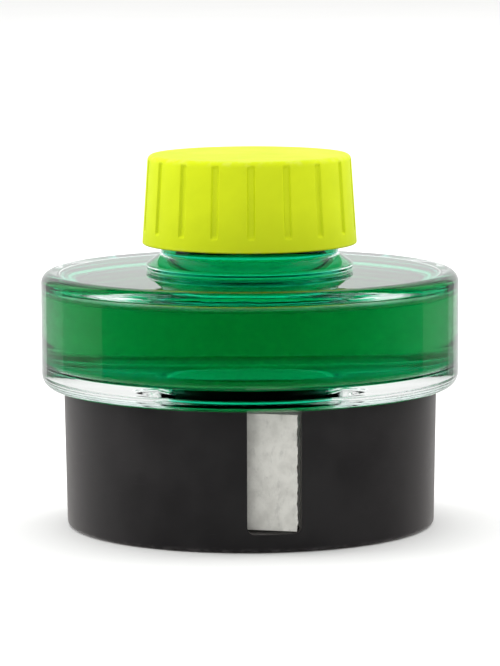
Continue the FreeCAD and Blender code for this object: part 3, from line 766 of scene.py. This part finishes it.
def strip_point(along, up, out):
    """A point of the strip, from millimetres along it, above its foot and out from the roll."""
    free = max(0.0, (along - CURL_START) / (TAIL_END - CURL_START))
    curl = 0.10 * free ** 2 * (1 + 0.4 * math.sin(up * 0.35))
    place = Vector((along, -(STRIP_DISTANCE + out + curl), PAPER_FOOT + up))
    return Matrix.Rotation(STRIP_TURNED, 3, "Z") @ place * MM


tail_mesh = bmesh.new()
COLUMNS, ROWS = 64, 72
strip_width = PAPER_TOP - PAPER_FOOT
sheet_rows = []
for out in (0.0, STRIP_THICKNESS):
    grid = []
    for j in range(ROWS + 1):
        share = j / ROWS
        torn = 0.18 + wave((share * 61, 0.06), (share * 137 + 1, 0.05), (share * 23 + 2, 0.05))
        end = TAIL_END - torn
        grid.append([tail_mesh.verts.new(strip_point(
            TAIL_START + (end - TAIL_START) * i / COLUMNS, strip_width * share, out))
            for i in range(COLUMNS + 1)])
    sheet_rows.append(grid)
inner, outer = sheet_rows
for j in range(ROWS):
    for i in range(COLUMNS):
        for grid in (inner, outer):
            tail_mesh.faces.new((grid[j][i], grid[j][i + 1], grid[j + 1][i + 1], grid[j + 1][i]))
    for i in (0, COLUMNS):
        tail_mesh.faces.new((inner[j][i], inner[j + 1][i], outer[j + 1][i], outer[j][i]))
for i in range(COLUMNS):
    for j in (0, ROWS):
        tail_mesh.faces.new((inner[j][i], inner[j][i + 1], outer[j][i + 1], outer[j][i]))
bmesh.ops.recalc_face_normals(tail_mesh, faces=tail_mesh.faces)
tail = piece_from("strip_end", tail_mesh, blotting_paper, sharp=40)


# %% [markdown]
# ## The bottle
# One section line draws the whole pressing: the well that dips into the base, the heavy disc,
# the collar, the neck and then back down the inside. The walls are thick where the glass is
# really thick, because the clear heel below the ink is what tells the eye that this is glass.

# %% Spin the glass
JOINT = BASE_TOP
MOUTH, NECK, COLLAR = 11.5, 14.85, 17.5
CAVITY, WELL_BORE = 32.3, 10.4
BEAD_HEIGHT = 0.9
BEAD = {"Root_Width": 2.2 * MM, "Crest_Width": 1.0 * MM, "Lead": 4.233 * MM, "Turns": 1.4,
        "Fade_Angle": 0.4}


def hollow(grow):
    """The inside's section from the mouth down to the well, pushed out by `grow`."""
    return [(MOUTH + grow, 40.5 + grow, 2.0), (CAVITY + grow, 40.4 + grow, 2.0),
            (CAVITY + grow, 26.8 - grow, 2.0), (WELL_BORE + grow, 26.0 - grow, 2.0),
            (9.6 + grow, 11.4 - grow, 2.0), (0, 11.4 - grow)]


glass_section = section([
    (0, WELL_BOTTOM), (12.0, WELL_BOTTOM, 3.0), (12.8, 18.4, 1.0), (12.8, JOINT, 0.5),
    (GLASS_RADIUS, JOINT, 2.3), (GLASS_RADIUS, 42.8, 1.9), (COLLAR - 0.4, 42.9, 0.3),
    (COLLAR, 43.9, 0.5), (NECK, 45.8, 0.8), (NECK, MOUTH_RIM, 0.7),
    (MOUTH, MOUTH_RIM, 0.7), *hollow(0)], steps=10)
glass_section = close_rows(glass_section, 48.0, 58.0, 0.2)
glass = piece_from("pressed_bottle", spun(glass_section, evenly(240))[0], clear_glass)
follow(glass, thread_rule, Wall_Radius=NECK * MM, Bead_Height=BEAD_HEIGHT * MM,
       Start_Height=51.304 * MM, Start_Angle=0.0, Finish=clear_glass, **BEAD)


# %% [markdown]
# ## The ink
# The ink fills the hollow up into the mouth. Its mesh reaches a twentieth of a millimetre into
# the glass. Without that, a film of air would lie between liquid and glass and the wall would
# shine like a mirror. With it, light passes from one to the other as it does in a full bottle.

# %% Fill the bottle
INTO_GLASS = 0.05
meniscus = [(0, INK_LEVEL), (8.6, INK_LEVEL, 0.5), (MOUTH - 0.6, INK_LEVEL + 0.12, 0.5),
            (MOUTH + INTO_GLASS, INK_LEVEL + 0.55, 0.1)]
ink_section = section([*meniscus, *hollow(INTO_GLASS)], steps=10)
ink = piece_from("ink_fill", spun(ink_section[::-1], evenly(240))[0], green_ink)


# %% [markdown]
# ## The cap and its liner
# The cap is spun with its upright lines crowded where the grooves will be, so that the groove
# rule finds enough points to bend there and none are wasted between. The same thread rule that
# raised the bottle's thread sinks the cap's own bead inwards from its bore.

# %% Spin the cap
GRIPS, FIRST_GRIP = 18, math.radians(-96.3)
ACROSS = [-3.05, -2.4, -1.7, -1.1, -0.78, -0.68, -0.6, -0.52, -0.42, -0.25, 0.0,
          0.25, 0.42, 0.52, 0.6, 0.68, 0.78, 1.1, 1.7, 2.4]
CAP_BORE = 16.0


def cap_lines(radius):
    """Angles of the cap's upright lines, close together at each groove."""
    return [FIRST_GRIP + 2 * math.pi * g / GRIPS + x / (CAP_RADIUS - 0.5)
            for g in range(GRIPS) for x in ACROSS]


cap_section = section([
    (0, LINER_TOP), (CAP_BORE, LINER_TOP, 0.3), (CAP_BORE, CAP_RIM, 0.3),
    (CAP_RADIUS, CAP_RIM, 0.3), (CAP_RADIUS - 1.0, CAP_TOP, 1.0), (0, CAP_TOP)], steps=7)
cap_section = close_rows(cap_section, 48.5, 60.0, 0.22)
cap = piece_from("grooved_cap", spun(cap_section, cap_lines)[0], cap_plastic)
follow(cap, groove_rule, Count=float(GRIPS), First_Angle=FIRST_GRIP, Width=1.1 * MM,
       Depth=0.38 * MM, Slope=0.12 * MM, Foot_Height=(CAP_RIM + 2.3) * MM,
       Top_Height=(CAP_TOP - 0.75) * MM, Least_Radius=(CAP_BORE + 0.6) * MM, Finish=cap_plastic)
follow(cap, thread_rule, Wall_Radius=CAP_BORE * MM, Bead_Height=-BEAD_HEIGHT * MM,
       Start_Height=49.18 * MM, Start_Angle=math.radians(-0.6), Finish=cap_plastic, **BEAD)


# %% Press in the liner
liner_section = section([(0, LINER_FOOT), (LINER_RADIUS, LINER_FOOT, 0.25),
                         (LINER_RADIUS, LINER_TOP, 0.25), (0, LINER_TOP)], steps=5)
liner = piece_from("sealing_disc", spun(liner_section, evenly(160))[0], liner_foam)


# %% [markdown]
# ## Join the pieces to the imported model
# Each piece stands for a part of the imported model and moves with the body that part is on. The
# boxes are compared with the imported parts', because the looks must not change a size.

# %% Ride, replace and compare
PIECES = [(base, "base", "base_shell", "base_plastic"),
          (roll, "roll", "paper_roll", "blotting_paper"),
          (tail, "tail", "paper_tail", "blotting_paper"),
          (glass, "bottle", "glass_bottle", "bottle_glass"), (ink, "bottle", "ink", "green_ink"),
          (liner, "seal", "cap_liner", "liner_foam"), (cap, "cap", "screw_cap", "cap_plastic")]
for piece, body, part, material_slot in PIECES:
    mine = [Vector(corner) for corner in piece.bound_box]
    low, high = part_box(part)
    off = [max(abs(min(c[i] for c in mine) - low[i]), abs(max(c[i] for c in mine) - high[i])) / MM
           for i in range(3)]
    print(f"{part}: box differs by at most {max(off):.2f} mm")
    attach(piece, body)
    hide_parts(part)


# %% [markdown]
# ## Floor, light and camera
# The bottle stands on a white floor in a light tent. The surroundings are white for everything
# that looks through the glass, but they don't shine back from the glass or the plastic: only
# bent white cards beside and behind the object do. The panels light it and aren't mirrored. That
# keeps the front of the glass deep and clean, with soft bright strips near its two sides.

# %% Floor and surroundings
floor_mesh = bmesh.new()
bmesh.ops.create_circle(floor_mesh, cap_ends=True, segments=96, radius=3.0)
floor_finish, tree, surface = new_finish("white_floor")
plug(tree, laid_over(tree, (0.90, 0.90, 0.89, 1), (0.87, 0.87, 0.86, 1),
                     use(tree, grain, Grain_Size_mm=4.0, Patch_Size_mm=90.0)["Patches"]),
     surface.inputs["Base Color"])
surface.inputs["Roughness"].default_value = 0.8
surface.inputs["Specular IOR Level"].default_value = 0.1
floor = piece_from("floor", floor_mesh, floor_finish)
floor.visible_glossy = False
floor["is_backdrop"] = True

world = bpy.data.worlds.new("white surroundings")
world.use_nodes = True
world.node_tree.nodes["Background"].inputs["Color"].default_value = (1, 1, 1, 1)
world.node_tree.nodes["Background"].inputs["Strength"].default_value = 1.0
world.cycles_visibility.glossy = False
bpy.context.scene.world = world


# %% Light panels
TURN = math.radians(-7.2)


def panel(name, place, width, height, watts):
    """A soft rectangular light at a place in metres, facing the bottle."""
    light = bpy.data.lights.new(name, "AREA")
    light.shape, light.size, light.size_y, light.energy = "RECTANGLE", width, height, watts
    made = bpy.data.objects.new(name, light)
    bpy.context.scene.collection.objects.link(made)
    made.location = place
    made.rotation_euler = (Vector((0, 0, 0.035)) - Vector(place)).to_track_quat("-Z", "Y").to_euler()
    made.visible_camera = made.visible_glossy = made.visible_transmission = False
    return made


def card(name, start, end, foot, top, glow, away=1.0):
    """A bent white card, seen only as a reflection. Angles from the camera, sizes in metres."""
    mesh = bmesh.new()
    steps = 24
    edge = [[mesh.verts.new((away * math.sin(a), -away * math.cos(a), height))
             for height in (foot, top)]
            for a in (TURN + math.radians(start + (end - start) * i / steps)
                      for i in range(steps + 1))]
    for one, other in zip(edge, edge[1:]):
        mesh.faces.new((one[0], other[0], other[1], one[1]))
    finish, tree, surface = new_finish(name)
    surface.inputs["Base Color"].default_value = (0, 0, 0, 1)
    surface.inputs["Emission Color"].default_value = (1, 1, 1, 1)
    surface.inputs["Emission Strength"].default_value = glow
    finish.cycles.emission_sampling = "NONE"
    made = piece_from(name, mesh, finish)
    made.visible_camera = made.visible_diffuse = made.visible_transmission = False
    made.visible_shadow = made.visible_volume_scatter = False
    made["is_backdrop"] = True


card("left_card", -87, -123, -0.7, 1.0, 0.25)
card("left_rear_card", -123, -150, -0.7, 1.0, 0.5)
card("right_card", 108, 139, -0.7, 1.0, 0.2)
card("right_rear_card", 139, 150, -0.7, 1.0, 0.5)
card("back_card", 150, 210, -0.7, 1.4, 1.0)
panel("left panel", (-1.30, 0.55, 0.45), 1.3, 1.0, 14)
panel("right panel", (1.30, 0.55, 0.45), 1.3, 1.0, 11)
panel("top panel", (0.0, 0.35, 1.5), 1.4, 1.2, 12)


# %% Camera
DISTANCE, EYE_HEIGHT = 0.6626, 0.1154
DOWN, ROLL = 0.1251, 0.0043
camera_data = bpy.data.cameras.new("camera")
camera_data.lens, camera_data.sensor_width, camera_data.sensor_fit = 214.7, 36.0, "AUTO"
camera_data.clip_start, camera_data.clip_end = 0.05, 20.0
camera = bpy.data.objects.new("camera", camera_data)
bpy.context.scene.collection.objects.link(camera)
camera.location = (DISTANCE * math.sin(TURN), -DISTANCE * math.cos(TURN), EYE_HEIGHT)
camera.rotation_euler = (Matrix.Rotation(TURN, 3, "Z")
                         @ Matrix.Rotation(math.pi / 2 - DOWN, 3, "X")
                         @ Matrix.Rotation(-ROLL, 3, "Z")).to_euler()
bpy.context.scene.camera = camera
bpy.context.scene.view_settings.view_transform = "Standard"


# %% [markdown]
# Light that enters the full bottle crosses glass, ink and glass again, and often runs along the
# rounded shoulder and heel before it comes out. The usual small number of crossings cuts those
# rays off and leaves black streaks, so more crossings are followed here.

# %% Follow the light right through the glass and ink
light_paths = bpy.context.scene.cycles
light_paths.max_bounces = 32
light_paths.glossy_bounces = 16
light_paths.transmission_bounces = 32
print("crossings followed:", light_paths.max_bounces)


# %% Print the box of everything shown
low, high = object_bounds()
print("visual box in mm:", [round(x / MM, 2) for x in (*low, *high)])
